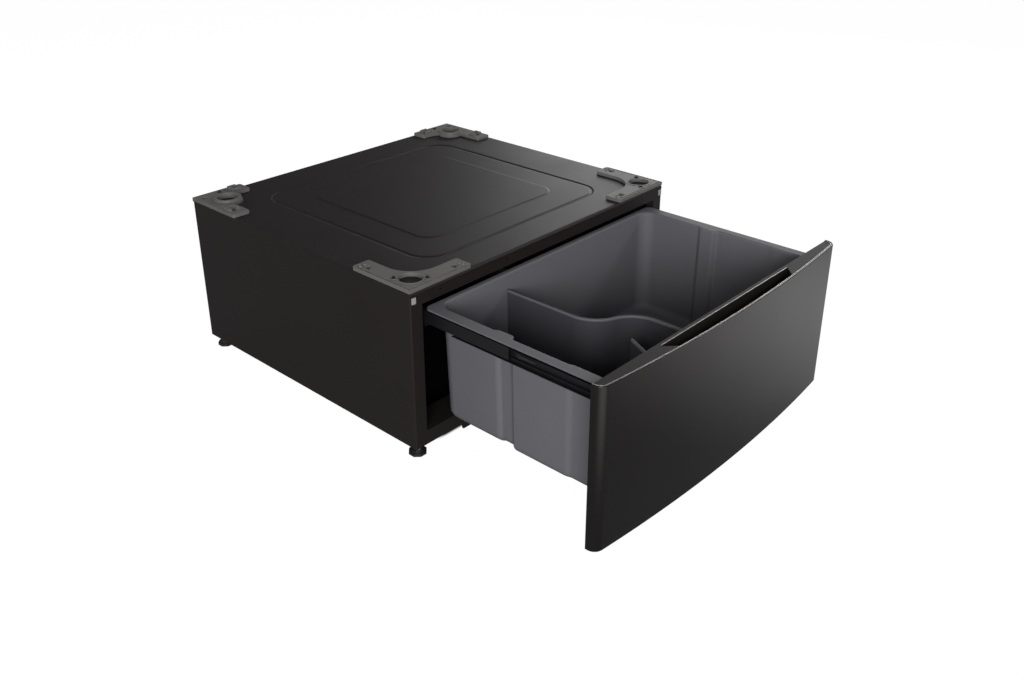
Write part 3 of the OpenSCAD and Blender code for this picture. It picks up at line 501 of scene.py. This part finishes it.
def topPressing():
    s = topSet
    low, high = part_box("top_panel")
    flat = high.z - s["fieldRise"] * mm
    noseY = low.y + s["nose"] * mm
    beadHalf = high.x - s["beadSide"] * mm
    front, back = low.y + s["beadFront"] * mm, high.y - s["beadBack"] * mm
    plans = [(oblong(high.x - s["sideGap"] * mm, noseY, high.y), 0, s["cornerRadius"])]
    for inset, rise, radius in topRims():
        inset *= mm
        plans.append((oblong(beadHalf - inset, front + inset, back - inset), rise, radius))
    shape = bmesh.new()
    loops = []
    for points, rise, radius in plans:
        before = set(shape.faces)
        roundedFace(shape, points, [radius * mm] * 4, flat + rise * mm, s["arcSteps"])
        last = len(loops) == len(plans) - 1  # the raised field keeps its face
        loops.append(list(shape.faces[:][-1].edges) if last else looseRim(shape, before))
    for at, (outer, inner) in enumerate(zip(loops, loops[1:])):
        if at in (0, s["beadSteps"] + 1):  # the flat rings, with unlike corners
            bmesh.ops.triangle_fill(shape, use_beauty=True, edges=outer + inner)
        else:
            bmesh.ops.bridge_loops(shape, edges=outer + inner)
    rollFront(shape, loops[0], high.x, noseY, flat)
    bmesh.ops.remove_doubles(shape, verts=shape.verts, dist=weld)
    faceUpward(shape)
    makePiece("topPressing", shape, "top_panel", wall=s["sheet"], even=False, sharp=s["sharp"])


topPressing()
print("top pressing done")


binSet = {"wall": 3.0, "draft": 4.7, "floorRound": 14, "rimRound": 4.6, "turnStep": 15, "rimWidth": 22,
          "frontLip": 2, "rearLip": 8, "edge": 0.6, "arcSteps": 6,
          "zones": [2, 5, -5, 0],                     # how far each stretch of wall stands out
          "steps": [(83, 5), (207, 3), (243, 3)],     # where the wall steps, and half the step's run
          "wallRounds": (17, 3, 27), "flangeRounds": (2.2, 1, 12)}    # front, steps, rear


# a face from its right half, with its corners' radii in the same order
def mirroredFace(shape, side, rounds, height):
    points = side + [(-x, y) for x, y in reversed(side)]
    front, step, rear = rounds
    radii = [front] + [step] * (len(side) - 2) + [rear]
    roundedFace(shape, points, [radius * mm for radius in radii + radii[::-1]], height,
                binSet["arcSteps"])


def binProfile(wide, deep, floor, top):  # round the floor's edge, up the wall and over the rim
    s = binSet
    turns = [math.radians(turn) for turn in range(0, 91, s["turnStep"])]
    profile = []
    for lean in turns:
        inset = (s["draft"] + s["floorRound"] * (1 - math.sin(lean))) * mm
        profile.append((wide - inset, deep - inset,
                        floor + s["floorRound"] * (1 - math.cos(lean)) * mm))
    for lean in turns:
        outset = s["rimRound"] * (1 - math.cos(lean)) * mm
        profile.append((wide + outset, deep + outset,
                        top - s["rimRound"] * (1 - math.sin(lean)) * mm))
    return profile


def binShell():
    s = binSet
    low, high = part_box("drawer_bin")
    wide = high.x - (s["rimWidth"] + s["wall"]) * mm  # inner half width at the rear
    front = low.y + (s["wall"] + s["frontLip"]) * mm
    rear = high.y - (s["rearLip"] + s["wall"]) * mm
    floor = low.z + s["wall"] * mm
    centreY, deep = (front + rear) / 2, (rear - front) / 2
    ys = [front]
    for at, slope in s["steps"]:
        ys += [low.y + (at - slope) * mm, low.y + (at + slope) * mm]
    ys.append(rear)
    widths = [wide + zone * mm for zone in s["zones"] for _ in (0, 1)]
    profile = binProfile(wide, deep, floor, high.z)
    shape = bmesh.new()
    mirroredFace(shape, list(zip(widths, ys)), s["wallRounds"], floor)
    bmesh.ops.scale(shape, vec=(profile[0][0] / wide, profile[0][1] / deep, 1),
                    space=Matrix.Translation((0, -centreY, 0)), verts=shape.verts)
    edges = climb(shape, list(shape.faces[:][0].edges), centreY, profile)
    before = set(shape.faces)
    mirroredFace(shape, [(high.x, y) for y in [low.y] + ys[1:-1] + [high.y]], s["flangeRounds"],
                 high.z)
    outer = looseRim(shape, before)
    bmesh.ops.triangle_fill(shape, use_beauty=True, edges=edges + outer)
    faceUpward(shape)
    makePiece("binShell", shape, "drawer_bin", wall=s["wall"], edge=s["edge"])


wingSet = {"thick": 4, "high": 50, "inner": 290, "webOuter": 312, "headGap": 2, "footGap": 1,
           "edge": 0.8}


def binWings():  # the flange that backs onto the panel
    s = wingSet
    low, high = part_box("drawer_bin")
    shape = bmesh.new()
    inner, under = s["inner"] * mm, high.z - s["high"] * mm
    for side in (-1, 1):
        for outer, foot, head in ((high.x, under, high.z - s["headGap"] * mm),
                                  (s["webOuter"] * mm, low.z + s["footGap"] * mm, under)):
            xs = sorted((side * inner, side * outer))
            slab(shape, (xs[0], low.y, foot), (xs[1], low.y + s["thick"] * mm, head), s["edge"] * mm)
    makePiece("binWings", shape, "drawer_bin", stands=False)


binShell()
binWings()
print("bin done")


dividerSet = {"thick": 3.5, "height": 190, "frontGap": 5.6, "rearGap": 11.6, "footGap": 5.2,
              "rearX": -130, "frontX": -46, "bendAt": 225, "bendRun": 120, "bendSteps": 12,
              "bead": 6.4, "beadRound": 2.9, "wallRound": 0.5, "near": 0.2}
ribSet = {"height": 182, "gap": 120, "foot": 1.5, "lean": 47, "run": 104}
binLow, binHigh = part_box("drawer_bin")
frontEnd = binLow.y + dividerSet["frontGap"] * mm
rearEnd = binHigh.y - dividerSet["rearGap"] * mm


def drawDivider(shape, z):
    s = dividerSet
    rearX, frontX, run = s["rearX"] * mm, s["frontX"] * mm, s["bendRun"] * mm
    turn = 2 * math.atan2((s["frontX"] - s["rearX"]) * mm, run)
    radius = run / 2 / math.sin(turn)
    bend = binLow.y + s["bendAt"] * mm
    tip = shape.verts.new((rearX, rearEnd, z))
    tip = runTo(shape, tip, (rearX, bend, z))
    tip = turnBy(shape, tip, (rearX + radius, bend, z), turn, s["bendSteps"])
    tip = turnBy(shape, tip, (frontX - radius, bend - run, z), -turn, s["bendSteps"])
    runTo(shape, tip, (frontX, frontEnd, z))


def drawRib(shape, z):
    s = ribSet
    x = (dividerSet["frontX"] - s["gap"]) * mm
    tip = shape.verts.new((x - s["foot"] * mm, frontEnd, z))
    runTo(shape, tip, (x + s["lean"] * mm, binLow.y + s["run"] * mm, z))


def standing(draw, foot, height, ends=()):  # a drawn path as a sheet
    shape = bmesh.new()
    draw(shape, foot)
    raised(shape, height * mm)
    for corner in shape.verts:  # its ends follow the slope of the bin's walls
        for end, way in ends:
            if abs(corner.co.y - end) < dividerSet["near"] * mm and corner.co.z < foot + mm:
                corner.co.y += way * dividerSet["footGap"] * mm
    bmesh.ops.recalc_face_normals(shape, faces=shape.faces)
    return shape


def wallWithBead(name, draw, node, height, ends):
    s = dividerSet
    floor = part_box(node)[0].z
    makePiece(name + "Wall", standing(draw, floor, height, ends), node, wall=s["thick"],
              middle=True, edge=s["wallRound"])
    makePiece(name + "Bead", standing(draw, floor + (height - s["bead"]) * mm, s["bead"]), node,
              stands=False, wall=s["bead"], middle=True, edge=s["beadRound"], slot="bin")


wallWithBead("divider", drawDivider, "bin_divider", dividerSet["height"],
             ((frontEnd, 1), (rearEnd, -1)))
wallWithBead("rib", drawRib, "bottle_rib", ribSet["height"], ((frontEnd, 1),))
print("divider and rib done")


panelSet = {"round": 18, "bow": 20, "skin": 3.2, "edge": 1.1, "bowSteps": 40, "roundSteps": 10,
            "middle": 30}
rimSet = {"gap": 0.9, "sink": 0.4, "wide": 1.3, "high": 1.3, "edge": 0.45, "pocketHalf": 200,
          "pocketFront": 1.6, "pocketRear": 0.2, "pocketHigh": 1.2}


def bowedSheet(inset, foot, head):  # the panel's plan line, drawn and raised
    s = panelSet
    low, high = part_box("front_panel")
    half, bow, corner = high.x, s["bow"] * mm, s["round"] * mm
    bowRadius = (half ** 2 + bow ** 2) / (2 * bow)
    middleY = low.y + bowRadius
    cornerX = half - corner
    cornerY = middleY - math.sqrt((bowRadius - corner) ** 2 - cornerX ** 2)
    lean = math.atan2(cornerX, middleY - cornerY)
    shape = bmesh.new()
    tip = shape.verts.new((0, low.y + inset * mm, foot))
    tip = turnBy(shape, tip, (0, middleY, foot), lean, s["bowSteps"])
    tip = turnBy(shape, tip, (cornerX, cornerY, foot), math.pi / 2 - lean, s["roundSteps"])
    runTo(shape, tip, (cornerX + (s["round"] - inset) * mm, high.y, foot))
    bmesh.ops.mirror(shape, geom=shape.verts[:] + shape.edges[:], matrix=Matrix.Identity(4),
                     merge_dist=weld, axis="X")
    bmesh.ops.remove_doubles(shape, verts=shape.verts, dist=weld)
    raised(shape, head - foot)
    bmesh.ops.recalc_face_normals(shape, faces=shape.faces)
    fronts = [face for face in shape.faces if abs(face.calc_center_median().x) < s["middle"] * mm]
    if fronts[0].normal.y > 0:
        bmesh.ops.reverse_faces(shape, faces=shape.faces)
    return shape


def panelSkin():
    s = panelSet
    low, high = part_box("front_panel")
    makePiece("panelSkin", bowedSheet(0, low.z, high.z), "front_panel", wall=s["skin"], edge=s["edge"])


def panelHighlightRims():  # the cap's upturned rim behind the skin, and the pocket's, both in bright bare steel as painted highlight lines along the dark cap's edges
    s = rimSet
    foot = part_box("panel_top_cap")[1].z - s["sink"] * mm
    sheet = bowedSheet(panelSet["skin"] + s["gap"], foot, foot + s["high"] * mm)
    makePiece("capHighlightRim", sheet, "panel_top_cap", stands=False, wall=s["wide"], edge=s["edge"],
              slot="bare_steel")
    shape = bmesh.new()
    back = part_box("handle_cup")[1].y
    slab(shape, (-s["pocketHalf"] * mm, back - s["pocketFront"] * mm, foot),
         (s["pocketHalf"] * mm, back - s["pocketRear"] * mm, foot + s["pocketHigh"] * mm),
         s["edge"] * mm)
    makePiece("pocketHighlightRim", shape, "panel_top_cap", stands=False, slot="bare_steel")


panelSkin()
panelHighlightRims()
print("panel done")


studSet = {"collar": 4.5, "collarRadius": 8, "collarEdge": 0.5, "root": 3.45, "crest": 4.0,
           "pitch": 1.5, "rises": (0.15, 0.45, 0.6, 0.9), "sink": 0.2, "tip": 0.9, "turnSteps": 24}


def threadedStud(node):
    s = studSet
    low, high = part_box(node)
    x, y = (low.x + high.x) / 2, (low.y + high.y) / 2
    root, crest, pitch = s["root"] * mm, s["crest"] * mm, s["pitch"] * mm
    shape = bmesh.new()
    collar = bmesh.ops.create_cone(shape, cap_ends=True, segments=6, depth=s["collar"] * mm,
                                   radius1=s["collarRadius"] * mm,
                                   radius2=s["collarRadius"] * mm)["verts"]
    bmesh.ops.translate(shape, vec=(x, y, low.z + s["collar"] / 2 * mm), verts=collar)
    bevelEdges(shape, shape.edges[:], s["collarEdge"] * mm)
    foot = low.z + s["collar"] * mm
    profile = [shape.verts.new((x + root, y, foot - s["sink"] * mm))]
    for turn in range(int((high.z - foot) / pitch)):
        for radius, rise in zip((root, crest, crest, root), s["rises"]):
            height = foot + (turn + rise) * pitch
            profile.append(runTo(shape, profile[-1], (x + radius, y, height)))
    profile.append(runTo(shape, profile[-1], (x + root * s["tip"], y, high.z)))
    profile.append(runTo(shape, profile[-1], (x, y, high.z)))
    edges = [edge for edge in shape.edges if all(corner in profile for corner in edge.verts)]
    bmesh.ops.spin(shape, geom=profile + edges, cent=(x, y, 0), axis=(0, 0, 1), angle=2 * math.pi,
                   steps=s["turnSteps"], use_merge=True, use_duplicate=False)
    bmesh.ops.remove_doubles(shape, verts=shape.verts, dist=weld)
    bmesh.ops.recalc_face_normals(shape, faces=shape.faces)
    makePiece("threaded_" + node, shape, node)


for node in cadNodes:
    if node.startswith("foot_stud"):
        threadedStud(node)
print("feet done")


softSet = {"flat": 0.6, "corner": 34}  # angles: what counts as flat, and as a corner
softEdges = {"side_panel_left": 0.8, "side_panel_right": 0.8, "front_top_rail": 0.5,
             "front_bottom_rail": 0.4, "back_panel": 0.3, "bracket_front_left": 0.8,
             "bracket_front_right": 0.8, "bracket_rear_left": 0.8, "bracket_rear_right": 0.8,
             "drawer_rail_left": 0.25, "drawer_rail_right": 0.25, "panel_top_cap": 0.8,
             "handle_cup": 0.5, "corner_tabs": 0.4, "foot_pad_front_left": 0.6,
             "foot_pad_front_right": 0.6, "foot_pad_rear_left": 0.6, "foot_pad_rear_right": 0.6,
             "slide_hanger_left": 0.25, "slide_hanger_right": 0.25, "slide_inner_left": 0.2,
             "slide_inner_right": 0.2, "release_lever_left": 0.3, "release_lever_right": 0.3}


def softened(node, width):  # the solid with its seams closed, flat faces joined and corners eased
    shape = bmesh.new()
    shape.from_mesh(cadNodes[node].data)
    bmesh.ops.remove_doubles(shape, verts=shape.verts, dist=weld)
    bmesh.ops.dissolve_limit(shape, angle_limit=math.radians(softSet["flat"]), verts=shape.verts,
                             edges=shape.edges)
    corners = [edge for edge in shape.edges if len(edge.link_faces) == 2
               and edge.calc_face_angle(0) > math.radians(softSet["corner"])]
    bevelEdges(shape, corners, width * mm)
    return shape


for node, width in softEdges.items():
    makePiece("soft_" + node, softened(node, width), node)
print("softened", len(softEdges), "pieces")
